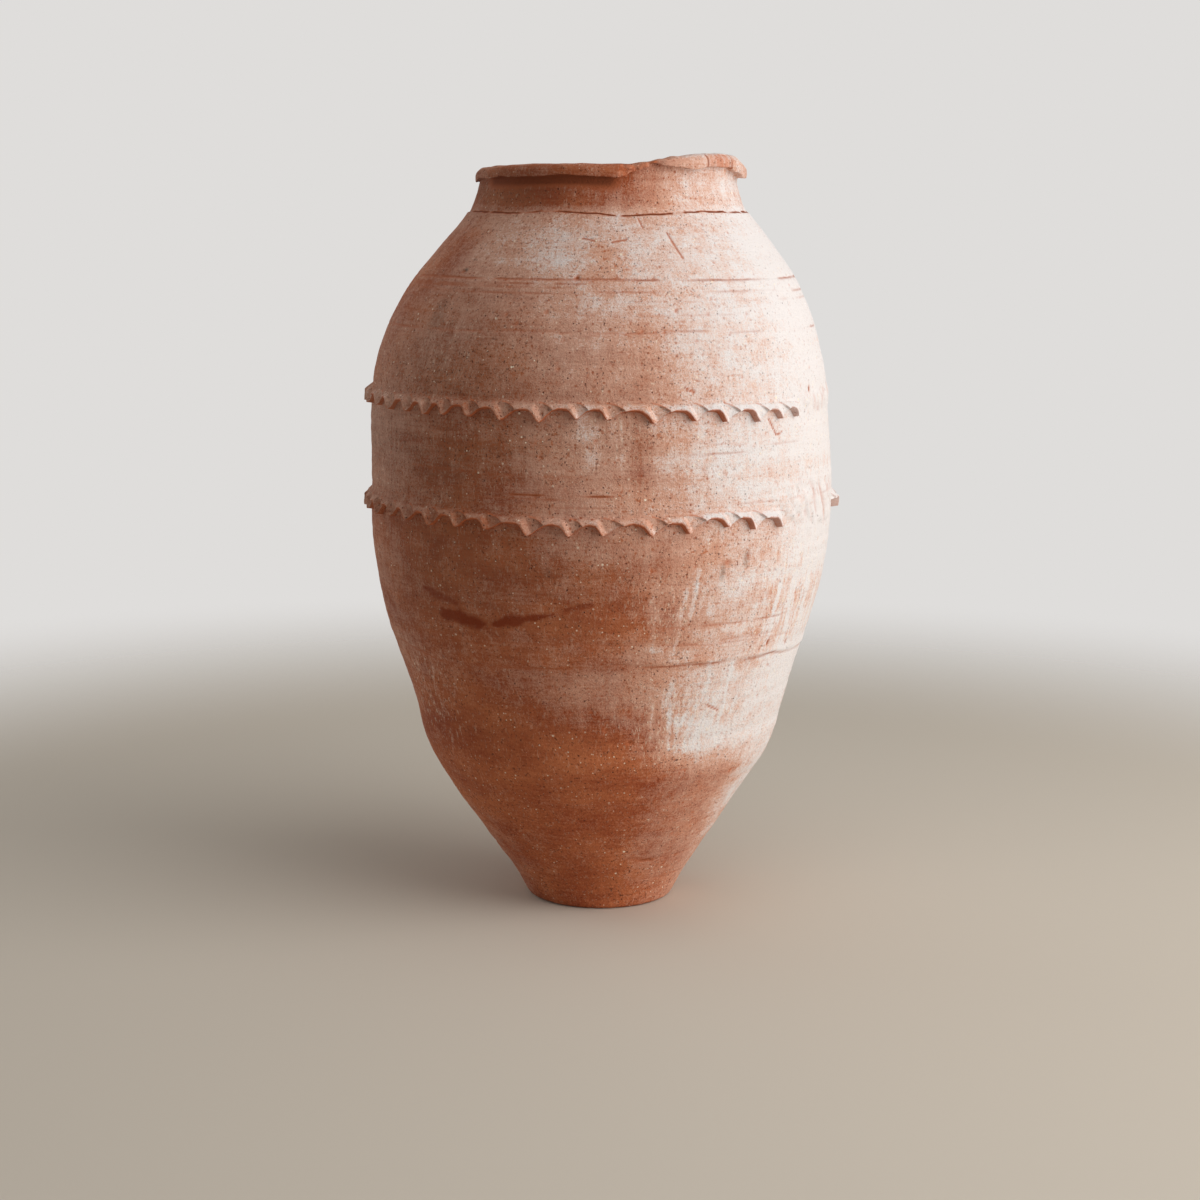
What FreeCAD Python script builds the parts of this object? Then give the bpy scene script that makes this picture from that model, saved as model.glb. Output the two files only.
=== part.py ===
import FreeCAD, Part
import math
import os

# A large storage jar, built up from separate pieces of clay, scored and luted one on the other.
# All lengths are in millimetres. The origin is the middle of the foot's underside, and +Z is up.
# The photographed front faces -Y. An azimuth is counted in degrees from the front towards +X.

# Height of each stretch of the wall, from the foot up
base_dish_height = 31.0
foot_coil_height = 23.0
cone_height = 86.0
cone_shoulder_height = 38.0
lower_belly_height = 76.0
middle_belly_height = 122.0
banded_belly_height = 95.0
upper_belly_height = 63.0
shoulder_coil_height = 43.0
neck_slope_height = 55.0
neck_collar_height = 26.0

# Outer radius at the foot, and how far each stretch opens out, or draws in, on its way up
foot_radius = 66.0
base_dish_flare = 17.5
foot_coil_flare = 16.0
cone_flare = 56.0
cone_shoulder_flare = 12.5
lower_belly_flare = 23.5
middle_belly_flare = 18.5
banded_belly_flare = -2.5
upper_belly_flare = -14.5
shoulder_coil_flare = -22.0
neck_slope_flare = -45.0
neck_collar_flare = -9.0

# How far each stretch swells outwards from the straight line between its ends
base_dish_swell = -0.8
foot_coil_swell = 0.4
cone_swell = 1.0
cone_shoulder_swell = 1.6
lower_belly_swell = -0.6
middle_belly_swell = 5.3
banded_belly_swell = 1.0
upper_belly_swell = 2.1
shoulder_coil_swell = 1.2
neck_slope_swell = 0.6
neck_collar_swell = -0.6

# Clay thickness, and the bevel of each scored join, which climbs from the outside to the inside
wall_thickness = 13.0
neck_thickness = 11.0
floor_thickness = 18.0
floor_corner_radius = 8.0
foot_edge_radius = 3.0
join_bevel_rise = 6.0
neck_ledge = 1.5

# Rim: a folded-out lip that stands higher on one side, with a stretch of its edge broken away
lip_root_height = 3.0
lip_height = 11.5
lip_overhang = 7.0
lip_nose_share = 0.75
lip_edge_rounding = 2.0
rim_crest_rise = 10.0
rim_crest_azimuth = 62.0
rim_crest_spread = 75.0
rim_seam_azimuth = 180.0
rim_section_count = 24
broken_lip_azimuth = 1.0
broken_lip_span = 21.0
broken_lip_remnant = 1.0

# Thumbed bands: a strip of clay over each of two joins, pressed up from below with the thumb
band_height = 16.0
band_below_join = 8.5
band_projection = 7.5
band_nose_height = 5.0
band_feather_thickness = 0.8
band_underside_thickness = 4.0
thumb_radius = 13.0
thumb_length = 30.0
thumb_lean = 32.0
thumb_stand_off = 8.0
thumb_drop = 1.5
upper_thumb_pitch = 34.3
lower_thumb_pitch = 36.7
upper_first_tooth_azimuth = 13.0
lower_first_tooth_azimuth = 12.5
upper_lost_azimuth = 63.0
upper_lost_span = 37.0
lower_lost_azimuth = 56.0
lower_lost_span = 26.0

# Every cut runs past what it cuts by this much
cut_overrun = 5.0

origin = FreeCAD.Vector(0, 0, 0)
up = FreeCAD.Vector(0, 0, 1)
full_turn = 360.0
half_turn = full_turn / 2
quarter_turn = full_turn / 4
section_azimuth = quarter_turn


def section_point(radius, height):
    """A point of the half section, drawn in the XZ plane."""
    return FreeCAD.Vector(radius, 0, height)


def jar_point(azimuth, radius, height):
    """A point round the jar, at an azimuth from its front."""
    turn = math.radians(azimuth)
    return FreeCAD.Vector(radius * math.sin(turn), -radius * math.cos(turn), height)


def straight(start, end):
    return Part.LineSegment(start, end).toShape()


def arc(start, middle, end):
    return Part.Arc(start, middle, end).toShape()


def midpoint(start, end):
    return (start + end) / 2


def swelling(start, end, swell):
    """An edge from start up to end that swells away from the jar's axis."""
    along = (end - start).normalize()
    outwards = FreeCAD.Vector(along.z, 0, -along.x)
    return arc(start, midpoint(start, end) + outwards * swell, end)


def turned(edges):
    """The ring that a closed half section makes round the jar's axis."""
    return Part.Face(Part.Wire(edges)).revolve(origin, up, full_turn)


def turned_sector(corners, azimuth, span):
    """The part of a ring that starts at an azimuth and runs on over a span."""
    outline = Part.makePolygon(corners + corners[:1])
    outline.rotate(origin, up, azimuth - section_azimuth)
    return Part.Face(outline).revolve(origin, up, span)


def wall_spans():
    """Height, flare and swell of each stretch, up to the join below the neck."""
    return [
        (base_dish_height, base_dish_flare, base_dish_swell),
        (foot_coil_height, foot_coil_flare, foot_coil_swell),
        (cone_height, cone_flare, cone_swell),
        (cone_shoulder_height, cone_shoulder_flare, cone_shoulder_swell),
        (lower_belly_height, lower_belly_flare, lower_belly_swell),
        (middle_belly_height, middle_belly_flare, middle_belly_swell),
        (banded_belly_height, banded_belly_flare, banded_belly_swell),
        (upper_belly_height, upper_belly_flare, upper_belly_swell),
        (shoulder_coil_height, shoulder_coil_flare, shoulder_coil_swell),
        (neck_slope_height, neck_slope_flare, neck_slope_swell),
    ]


def outer_levels():
    """The outer point at the foot and at the top of each stretch."""
    levels = [section_point(foot_radius, 0)]
    for height, flare, swell in wall_spans():
        levels.append(levels[-1] + section_point(flare, height))
    return levels


outer = outer_levels()
swells = [swell for height, flare, swell in wall_spans()]
neck_top = outer[-1] + section_point(neck_collar_flare, neck_collar_height)


def inner_levels():
    """The inner end of the bevel at each level, a wall's thickness in, square to the wall."""
    levels = []
    for below, here, above in zip(outer, outer[1:], outer[2:] + [neck_top]):
        lean = math.atan2(above.x - below.x, above.z - below.z)
        inset = wall_thickness / math.cos(lean) - join_bevel_rise * math.tan(lean)
        levels.append(section_point(here.x - inset, here.z + join_bevel_rise))
    return levels


inner = [section_point(outer[0].x - wall_thickness, floor_thickness)] + inner_levels()


def base_dish():
    """The first piece: a thick floor with the start of the wall drawn up round it."""
    edge_start = section_point(outer[0].x - foot_edge_radius, 0)
    edge_end = section_point(outer[0].x, foot_edge_radius)
    edge_centre = section_point(edge_start.x, edge_end.z)
    corner = (edge_centre - section_point(0, edge_centre.z)).normalize() - up
    edge_middle = edge_centre + corner.normalize() * foot_edge_radius
    wall_start = inner[0]
    wall_end = inner[1]
    climb = (wall_end - wall_start).normalize()
    round_start = wall_start - FreeCAD.Vector(floor_corner_radius, 0, 0)
    round_end = wall_start + climb * floor_corner_radius
    round_middle = (midpoint(round_start, round_end) + wall_start) / 2
    floor_middle = section_point(0, floor_thickness)
    return turned([
        straight(origin, edge_start),
        arc(edge_start, edge_middle, edge_end),
        swelling(edge_end, outer[1], swells[0]),
        straight(outer[1], wall_end),
        straight(wall_end, round_end),
        arc(round_end, round_middle, round_start),
        straight(round_start, floor_middle),
        straight(floor_middle, origin),
    ])


def wall_ring(first, last):
    """A ring of wall between two joins, over one or more stretches."""
    edges = []
    for level in range(first, last):
        edges.append(swelling(outer[level], outer[level + 1], swells[level]))
    edges.append(straight(outer[last], inner[last]))
    for level in range(last, first, -1):
        inner_edge = swelling(inner[level - 1], inner[level], swells[level - 1])
        edges.append(inner_edge)
    edges.append(straight(inner[first], outer[first]))
    return turned(edges)


def rim_rise(azimuth):
    """How much higher the rim stands at an azimuth than at its lowest."""
    away = abs((azimuth - rim_crest_azimuth + half_turn) % full_turn - half_turn)
    share = min(away / rim_crest_spread, 1)
    return rim_crest_rise * math.cos(share * math.pi / 2) ** 2


def lip_section(azimuth):
    """The lip's upright section: a root seated on the neck, and a rounded edge folded out over it."""
    fold = neck_top.z + lip_root_height + rim_rise(azimuth)
    top = fold + lip_height
    bore_radius = neck_top.x - neck_thickness
    nose_radius = neck_top.x + lip_overhang * lip_nose_share
    seat_inner = jar_point(azimuth, bore_radius, neck_top.z)
    seat_outer = jar_point(azimuth, neck_top.x, neck_top.z)
    root_top = jar_point(azimuth, neck_top.x, fold)
    nose_low = jar_point(azimuth, nose_radius, fold + lip_edge_rounding)
    nose_tip = jar_point(azimuth, neck_top.x + lip_overhang, fold + lip_height / 2)
    nose_high = jar_point(azimuth, nose_radius, top - lip_edge_rounding)
    top_outer = jar_point(azimuth, neck_top.x, top)
    top_inner = jar_point(azimuth, bore_radius + lip_edge_rounding, top)
    bore_top = jar_point(azimuth, bore_radius, top - lip_edge_rounding)
    return Part.Wire([
        straight(seat_inner, seat_outer),
        straight(seat_outer, root_top),
        straight(root_top, nose_low),
        arc(nose_low, nose_tip, nose_high),
        straight(nose_high, top_outer),
        straight(top_outer, top_inner),
        straight(top_inner, bore_top),
        straight(bore_top, seat_inner),
    ])


def neck_collar():
    """The upright neck, set a little way in on its join, which leaves a narrow ledge."""
    ledge_share = neck_ledge / (outer[-1].x - inner[-1].x)
    foot_outer = outer[-1] + (inner[-1] - outer[-1]) * ledge_share
    bore_top = neck_top - FreeCAD.Vector(neck_thickness, 0, 0)
    return turned([
        straight(inner[-1], foot_outer),
        swelling(foot_outer, neck_top, neck_collar_swell),
        straight(neck_top, bore_top),
        straight(bore_top, inner[-1]),
    ])


def broken_lip():
    """The stretch of the lip's edge that has broken away."""
    low = neck_top.z - cut_overrun
    high = neck_top.z + lip_root_height + rim_crest_rise + lip_height + cut_overrun
    inside = neck_top.x + broken_lip_remnant
    outside = neck_top.x + lip_overhang + cut_overrun
    corners = [
        section_point(inside, low),
        section_point(outside, low),
        section_point(outside, high),
        section_point(inside, high),
    ]
    return turned_sector(corners, broken_lip_azimuth, broken_lip_span)


def rim_lip():
    """The lip, whose section follows the rim up and down round the jar."""
    sections = []
    for number in range(rim_section_count):
        azimuth = rim_seam_azimuth + full_turn * number / rim_section_count
        sections.append(lip_section(azimuth))
    return Part.makeLoft(sections, True, False, True).cut(broken_lip())


def wall_radius(height):
    """The wall's outer radius at a height, on the swollen stretch that holds it."""
    for below, above, swell in zip(outer, outer[1:], swells):
        if height <= above.z:
            share = (height - below.z) / (above.z - below.z)
            return below.x + (above.x - below.x) * share + swell * 4 * share * (1 - share)
    return outer[-1].x


def thumb_mark(azimuth, radius, height):
    """The room that a thumb takes, its tip at a point and its length leaning down and sideways."""
    tip = jar_point(azimuth, radius, height)
    sideways = jar_point(azimuth + quarter_turn, radius, 0).normalize()
    lean = math.radians(thumb_lean)
    direction = sideways * math.sin(lean) - up * math.cos(lean)
    return [
        Part.makeSphere(thumb_radius, tip),
        Part.makeCylinder(thumb_radius, thumb_length, tip, direction),
    ]


def thumbed_band(level, walls, pitch, first_tooth, lost_azimuth, lost_span):
    """A strip over the join at a level, with a thumb mark between each tooth and the next."""
    bottom = outer[level].z - band_below_join
    top = bottom + band_height
    nose = bottom + band_nose_height
    buried = wall_radius(bottom) - cut_overrun
    corners = [
        section_point(buried, bottom),
        section_point(wall_radius(bottom) + band_underside_thickness, bottom),
        section_point(wall_radius(nose) + band_projection, nose),
        section_point(wall_radius(top) + band_feather_thickness, top),
        section_point(buried, top),
    ]
    strip = turned_sector(corners, lost_azimuth + lost_span, full_turn - lost_span)
    girth = 2 * math.pi * outer[level].x
    mark_count = round(girth / pitch)
    step = full_turn / mark_count
    marks = []
    for number in range(mark_count):
        azimuth = first_tooth + step * (number + 1 / 2)
        marks += thumb_mark(azimuth, wall_radius(bottom) + thumb_stand_off, bottom - thumb_drop)
    return strip.cut(marks).cut(walls)


def build():
    pieces = {
        "base_dish": base_dish(),
        "foot_coil": wall_ring(1, 2),
        "cone_wall": wall_ring(2, 4),
        "lower_belly": wall_ring(4, 5),
        "middle_belly": wall_ring(5, 6),
        "banded_belly": wall_ring(6, 7),
        "upper_belly": wall_ring(7, 8),
        "shoulder_coil": wall_ring(8, 9),
        "neck_slope": wall_ring(9, 10),
        "neck_collar": neck_collar(),
        "rim_lip": rim_lip(),
    }
    pieces["lower_thumbed_band"] = thumbed_band(
        6,
        [pieces["middle_belly"], pieces["banded_belly"]],
        lower_thumb_pitch,
        lower_first_tooth_azimuth,
        lower_lost_azimuth,
        lower_lost_span,
    )
    pieces["upper_thumbed_band"] = thumbed_band(
        7,
        [pieces["banded_belly"], pieces["upper_belly"]],
        upper_thumb_pitch,
        upper_first_tooth_azimuth,
        upper_lost_azimuth,
        upper_lost_span,
    )
    return pieces


os.makedirs("parts", exist_ok=True)
for name, piece in build().items():
    piece.exportStep("parts/" + name + ".step")
    print(name, "valid", piece.isValid(), "solids", len(piece.Solids), "mm3", round(piece.Volume))
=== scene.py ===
# %% [markdown]
# A tall storage jar, coil-built from low-fired terracotta. It was made as a stack of clay rings, each dried a
# little and luted onto the one below, with two thumbed bands pressed over the widest joins.
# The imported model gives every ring's size and place. This script gives each ring its real surface: the uneven
# wall, the joins, the thumb marks, the broken lip, and the chalky bloom that age left on the clay.
# It works in metres, with +Z up and the front of the jar facing -Y.

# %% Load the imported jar
import functools
import math

import bpy
import numpy as np
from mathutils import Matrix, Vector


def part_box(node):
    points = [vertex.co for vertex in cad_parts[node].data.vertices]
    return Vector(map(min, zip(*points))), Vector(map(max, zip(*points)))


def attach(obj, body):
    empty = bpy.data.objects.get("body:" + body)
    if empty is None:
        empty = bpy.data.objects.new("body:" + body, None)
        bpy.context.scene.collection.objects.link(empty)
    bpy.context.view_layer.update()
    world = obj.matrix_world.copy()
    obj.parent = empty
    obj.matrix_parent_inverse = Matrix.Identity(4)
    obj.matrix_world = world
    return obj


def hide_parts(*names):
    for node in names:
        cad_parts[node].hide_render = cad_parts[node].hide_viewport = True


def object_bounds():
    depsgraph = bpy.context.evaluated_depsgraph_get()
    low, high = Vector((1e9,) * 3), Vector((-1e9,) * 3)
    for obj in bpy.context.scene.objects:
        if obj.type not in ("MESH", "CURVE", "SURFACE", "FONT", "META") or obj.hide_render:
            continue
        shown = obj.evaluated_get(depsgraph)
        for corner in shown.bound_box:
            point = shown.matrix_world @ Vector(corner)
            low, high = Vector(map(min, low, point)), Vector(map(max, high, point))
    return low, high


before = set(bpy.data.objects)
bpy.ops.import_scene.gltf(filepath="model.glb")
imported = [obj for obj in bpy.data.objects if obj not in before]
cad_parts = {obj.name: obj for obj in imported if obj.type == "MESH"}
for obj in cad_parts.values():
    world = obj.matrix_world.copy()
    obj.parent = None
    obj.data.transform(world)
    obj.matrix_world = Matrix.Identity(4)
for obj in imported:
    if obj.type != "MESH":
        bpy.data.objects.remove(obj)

cad_low, cad_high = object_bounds()
jar_height = cad_high.z
print("packed jar", [round(side, 4) for side in cad_high - cad_low], "metres")

# %% [markdown]
# Everything on the jar is placed by its azimuth, in degrees from the front towards +X, and by its height.
# Small sizes are easier to read in millimetres, so one value turns them into metres, and one function turns
# whole tables.

# %% Units and small helpers
mm = 0.001
full_turn = 360.0
half_turn = full_turn / 2


def in_metres(rows, *places):
    """The rows of a table, with the lengths at those places turned from millimetres into metres."""
    return [tuple(value * mm if at in places else value for at, value in enumerate(row)) for row in rows]


def turn_between(azimuth, centre):
    """Degrees from one azimuth to another, the short way round."""
    return (azimuth - centre + half_turn) % full_turn - half_turn


def ease(share):
    """A smooth step from 0 to 1."""
    share = np.clip(share, 0, 1)
    return share * share * (3 - 2 * share)


def mound(distance):
    """A smooth mound: 1 at no distance, and 0 from a distance of 1 on."""
    return np.clip(1 - distance * distance, 0, 1) ** 2


def strongest(*values):
    """The greatest of several values at each point."""
    return functools.reduce(np.maximum, values)


def on_span(azimuth, middle, half_span, fade):
    """1 over a stretch round the jar, and falling to 0 at its two ends."""
    return ease((half_span - abs(turn_between(azimuth, middle))) / fade)


def around(azimuth, places, values):
    """A value that passes smoothly round the jar from one azimuth to the next."""
    count = len(places)
    before = (np.searchsorted(places, azimuth % full_turn, side="right") - 1) % count
    closed_places = np.append(places, places[0] + full_turn)
    closed_values = np.append(values, values[0])
    start = closed_places[before]
    share = ((azimuth - start) % full_turn) / (closed_places[before + 1] - start)
    return closed_values[before] + (closed_values[before + 1] - closed_values[before]) * ease(share)


# %% [markdown]
# A hand-built wall is never true. Its unevenness is soft noise on a lattice of random values, wrapped round
# the jar without a seam. Few low cells give the long level marks of a wet hand, and tall narrow ones give
# scraping marks. Each noise has a seed of its own, so every run gives the same jar.

# %% Noise wrapped round the jar
noises = {
    # how strong, cells round, height of a cell (none where it only changes round the jar), seed
    "wall_swelling": (1.1 * mm, 7, 75 * mm, 11),
    "wall_dents": (0.4 * mm, 19, 26 * mm, 12),
    "wall_waves": (0.22 * mm, 5, 6 * mm, 13),
    "wall_lines": (0.12 * mm, 9, 3.2 * mm, 14),
    "scraping": (0.16 * mm, 190, 34 * mm, 15),
    "bloom_clouds": (0.12, 11, 60 * mm, 21),
    "bloom_lines": (0.08, 5, 9 * mm, 22),
    "film_clouds": (0.5, 9, 50 * mm, 23),
    "stroke_waver": (1, 40, 9 * mm, 25),
    "stroke_edge": (0.3, 300, 4 * mm, 26),
    "finger_marks": (0.5 * mm, 40, 18 * mm, 41),
    "coil_marks": (0.7 * mm, 5, 14 * mm, 42),
    "ledge_wander": (0.5 * mm, 90, None, 51),
    "groove_breaks": (0.9, 110, None, 52),
    "dragged_wander": (1.2 * mm, 60, None, 53),
    "dragged_lumps": (0.7, 37, None, 54),
    "lip_shade_edge": (0.4, 23, None, 55),
    "inner_bloom": (0.25, 9, 40 * mm, 71),
    "lip_top": (0.3 * mm, 90, None, 81),
    "lip_fold": (0.5 * mm, 70, None, 82),
    "lip_reach": (0.5 * mm, 40, None, 83),
    "lip_tears": (0.9 * mm, 260, 3 * mm, 84),
    "lip_crumbs": (0.6, 150, 4 * mm, 85),
    "lip_splits": (0.5, 420, 40 * mm, 86),
    "scar_edge": (0.35, 120, 8 * mm, 91),
    "scar_lumps": (1, 140, 17 * mm, 93),
    "scar_crumbs": (1, 330, 8 * mm, 95),
    "line_wander": (1, 17, None, 100),
    "line_breaks": (1.1, 61, None, 101),
    "line_shake": (0.3 * mm, 150, None, 102),
    "band_top": (0.5 * mm, 50, None, 203),
    "band_edge": (0.5 * mm, 260, None, 204),
    "band_lumps": (0.35 * mm, 300, 4 * mm, 205),
}


def wrapped_noise(azimuth, height, cells_round, cell_height, seed):
    """Soft noise from -1 to 1, with so many cells round the jar and cells of that height."""
    rows = int(jar_height / cell_height) + 6
    values = np.random.default_rng(seed).uniform(-1, 1, (rows, cells_round))
    across = azimuth % full_turn / full_turn * cells_round
    upward = np.clip(height / cell_height + 2, 0, rows - 2)
    column = np.floor(across).astype(int)
    row = np.floor(upward).astype(int)
    share_across = ease(across - column)
    share_up = ease(upward - row)
    left = column % cells_round
    right = (column + 1) % cells_round
    low = values[row, left] * (1 - share_across) + values[row, right] * share_across
    high = values[row + 1, left] * (1 - share_across) + values[row + 1, right] * share_across
    return low * (1 - share_up) + high * share_up


def uneven(name, azimuth, height=None, shift=0):
    """A named noise at points of the wall. A shift of its seed gives another one of its kind."""
    strength, cells_round, cell_height, seed = noises[name]
    if cell_height is None:
        height = azimuth * 0
        cell_height = jar_height
    return strength * wrapped_noise(azimuth, height, cells_round, cell_height, seed + shift)


# %% [markdown]
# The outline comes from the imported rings. Each ring sits on the one below at its lowest outer edge, and the
# wall swells a little between those joins. The potter smeared each join, so the outline is rounded there.

# %% The outline of the wall
bare_rings = ["base_dish", "foot_coil", "cone_wall"]
belly_rings = ["lower_belly", "middle_belly", "banded_belly", "upper_belly", "shoulder_coil"]
neck_rings = ["neck_slope", "neck_collar"]
ring_names = bare_rings + belly_rings + neck_rings
foot_rounding = 3 * mm
neck_ledge = 1.5 * mm
level_tolerance = 0.3 * mm


def outer_radius_of(node, height):
    """The outer radius of a packed ring at one of its levels."""
    points = np.array([tuple(vertex.co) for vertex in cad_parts[node].data.vertices])
    level = points[abs(points[:, 2] - height) < level_tolerance]
    return np.hypot(level[:, 0], level[:, 1]).max()


foot_heights = {name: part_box(name)[0].z for name in ring_names + ["rim_lip"]}
swells = in_metres([
    # ring, how far above its foot a stretch of the wall starts, how far that stretch swells out
    ("base_dish", 0, -0.8),
    ("foot_coil", 0, 0.4),
    ("cone_wall", 0, 1.0),
    ("cone_wall", 86, 1.6),
    ("lower_belly", 0, -0.6),
    ("middle_belly", 0, 5.3),
    ("banded_belly", 0, 1.0),
    ("upper_belly", 0, 2.1),
    ("shoulder_coil", 0, 1.2),
    ("neck_slope", 0, 0.6),
    ("neck_collar", 0, -0.6),
    ("rim_lip", 0, 0),
], 1, 2)
stretches = [(name, foot_heights[name] + above_foot, swell) for name, above_foot, swell in swells]
outline_step = 0.5 * mm
outline_rounding = 4 * mm


def wall_outline():
    """Heights and outer radii of the wall, from the foot to the seat of the lip."""
    levels = np.array([height for name, height, swell in stretches])
    radii = np.array([outer_radius_of(name, height) for name, height, swell in stretches])
    radii[0] += foot_rounding
    radii[-2] += neck_ledge
    heights = np.arange(0, levels[-1] + outline_step, outline_step)
    stretch = np.clip(np.searchsorted(levels, heights, side="right") - 1, 0, len(levels) - 2)
    share = (heights - levels[stretch]) / (levels[stretch + 1] - levels[stretch])
    straight = radii[stretch] + (radii[stretch + 1] - radii[stretch]) * share
    swelling = np.array([swell for name, height, swell in stretches])[stretch]
    drawn = straight + swelling * 4 * share * (1 - share)
    reach = int(3 * outline_rounding / outline_step)
    offsets = np.arange(-reach, reach + 1) * outline_step
    weights = np.exp(-((offsets / outline_rounding) ** 2) / 2)
    padded = np.pad(drawn, reach, mode="reflect", reflect_type="odd")
    return heights, np.convolve(padded, weights / weights.sum(), mode="valid")


outline_heights, outline_radii = wall_outline()
neck_join = foot_heights["neck_collar"]
lip_seat = foot_heights["rim_lip"]
print("joins at", [round(height / mm) for name, height, swell in stretches], "mm")
print("widest radius", round(outline_radii.max() / mm, 1), "mm")

# %% [markdown]
# The potter built by eye, so the middle of the jar wanders: the lower belly leans to the left and the neck to
# the right. The inside follows the outside at the thickness of the clay, which makes the wall a real one.

# %% Lean of the axis, and the inside of the wall
wall_thickness = 13 * mm
neck_thickness = 11 * mm
floor_top = 18 * mm
bevel_rise = 6 * mm
lean_heights = np.array([0, 30, 100, 150, 190, 255, 320, 390, 460, 510, 560, 590, 620, 640, 690]) * mm
leans = np.array([-0.5, -0.8, -4.2, -2.2, -2, -4.4, -3, -0.6, -3, -2.9, 0.2, 3.1, 4.6, 3.4, 3.7]) * mm


def axis_lean(height):
    """How far the jar's middle stands to the right of its foot at a height."""
    return np.interp(height, lean_heights, leans)


def inner_outline():
    """Heights and radii of the inside, square to the wall by its thickness."""
    slopes = np.gradient(outline_radii, outline_heights)
    lengths = np.sqrt(1 + slopes * slopes)
    thickness = np.interp(outline_heights, [neck_join, lip_seat], [wall_thickness, neck_thickness])
    radii = outline_radii - thickness / lengths
    heights = outline_heights + thickness * slopes / lengths
    order = np.argsort(heights)
    return heights[order], radii[order]


inner_heights, inner_radii = inner_outline()
bore_radius = outline_radii[-1] - neck_thickness


def inner_radius(azimuth, height):
    """The inside's radius, with the soft dents of the potter's fingers."""
    smooth = np.interp(height, inner_heights, inner_radii)
    in_neck = ease((height - neck_join) / bevel_rise)
    marks = uneven("finger_marks", azimuth, height)
    return (smooth + marks + uneven("coil_marks", azimuth, height)) * (1 - in_neck) + bore_radius * in_neck


# %% [markdown]
# Joins show on the outside as shallow grooves that come and go, and some were dragged open in the wet clay.
# Each is a level line here, which is cut into the mesh and has painted shade in it, darkest at its bottom.

# %% Level lines round the wall
whole_round = (0, 181)
line_end_fade = 6
level_lines = in_metres([
    # height, middle azimuth and half span, half width, depth, wander, how dark
    (31, whole_round, 1.6, 0.35, 1.5, 0.2),
    (54, (34, 16), 1.8, 0.8, 1.0, 0.8),
    (53, (-58, 26), 2.4, 1.2, 1.5, 0.4),
    (55, whole_round, 1.8, 0.3, 2.0, 0.1),
    (90, (-20, 60), 2.4, 0.25, 4.0, 0.1),
    (118, (20, 60), 2.0, 0.25, 4.0, 0.1),
    (147, (-30, 60), 2.0, 0.25, 3.0, 0.1),
    (271, (0, 55), 1.3, 0.35, 1.2, 0.25),
    (267, (10, 60), 1.3, 0.3, 1.2, 0.2),
    (286, (34, 22), 1.3, 0.3, 1.0, 0.25),
    (300, whole_round, 1.6, 0.2, 3.0, 0.1),
    (400, (-12, 18), 1.1, 0.5, 0.6, 0.75),
    (397, (-14, 22), 1.2, 0.25, 0.8, 0.25),
    (390, whole_round, 1.2, 0.2, 1.0, 0.15),
    (434, (25, 14), 1.1, 0.3, 1.2, 0.35),
    (441, (38, 26), 1.1, 0.25, 2.5, 0.15),
    (417, (-30, 30), 1.3, 0.2, 1.5, 0.15),
    (534, whole_round, 1.4, 0.35, 1.5, 0.3),
    (549, (-30, 70), 1.4, 0.2, 1.0, 0.15),
    (560, whole_round, 1.2, 0.2, 0.8, 0.15),
    (566.5, whole_round, 1.3, 0.35, 0.7, 0.35),
    (570, (-50, 42), 1.2, 0.3, 0.6, 0.4),
    (573, (-48, 46), 1.2, 0.3, 0.6, 0.4),
    (577, whole_round, 1.5, 0.5, 0.7, 0.45),
], 0, 2, 3, 4)


def line_marks(azimuth, height, line, number):
    """The groove of a level line at each point of a grid, and how much painted shade lies in it."""
    level, span, half_width, depth, wander, darkness = line
    shift = 3 * number
    wandering = level + wander * uneven("line_wander", azimuth, shift=shift)
    wandering = wandering + uneven("line_shake", azimuth, shift=shift)
    across = mound((height - wandering) / half_width)
    broken = ease(0.75 + uneven("line_breaks", azimuth, shift=shift))
    strength = across * on_span(azimuth, *span, line_end_fade) * broken
    return depth * strength, darkness * strength


# %% [markdown]
# The join under the neck is the clearest. The neck stands a little way in, and leaves a narrow ledge with a
# torn groove behind it, darkened with painted shade. At the foot of the middle belly the clay was dragged
# down over the join, and ends in a soft raised edge with a painted shadow line under it.

# %% The neck's ledge and the dragged edge
ledge_half_width = 2.0 * mm
ledge_groove_depth = 1.4 * mm
ledge_groove_half_width = 0.47 * ledge_half_width
ledge_places = np.array([2, 17, 38, 66, 180, 293, 321, 336, 353])
ledge_sags = np.array([-3, -2, 0.6, 0, 0, -0.6, -1.6, 0, -1.2]) * mm
dragged_places = np.array([2, 28, 50, 74, 130, 230, 294, 318, 340])
dragged_heights = np.array([253, 251.5, 250.5, 246, 250, 249, 252.5, 244.5, 249.5]) * mm
dragged_edge_rise = 1.9 * mm
dragged_edge_width = 1.8 * mm
dragged_edge_fade = 14 * mm
shadow_line_drop = 0.4 * mm
shadow_line_half_width = 1.5 * mm


def ledge_level(azimuth):
    """Height of the neck's join, which isn't quite level."""
    return neck_join + around(azimuth, ledge_places, ledge_sags) + uneven("ledge_wander", azimuth)


def neck_groove(azimuth, height):
    """How deep in the torn groove of the neck's join a point lies."""
    torn = ease(0.95 + uneven("groove_breaks", azimuth))
    above = height - ledge_level(azimuth) - ledge_half_width / 3
    return mound(above / ledge_groove_half_width) * torn


def neck_setback(azimuth, height):
    """How far the neck stands behind the slope below it."""
    return neck_ledge * ease((height - ledge_level(azimuth)) / ledge_half_width)


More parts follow.
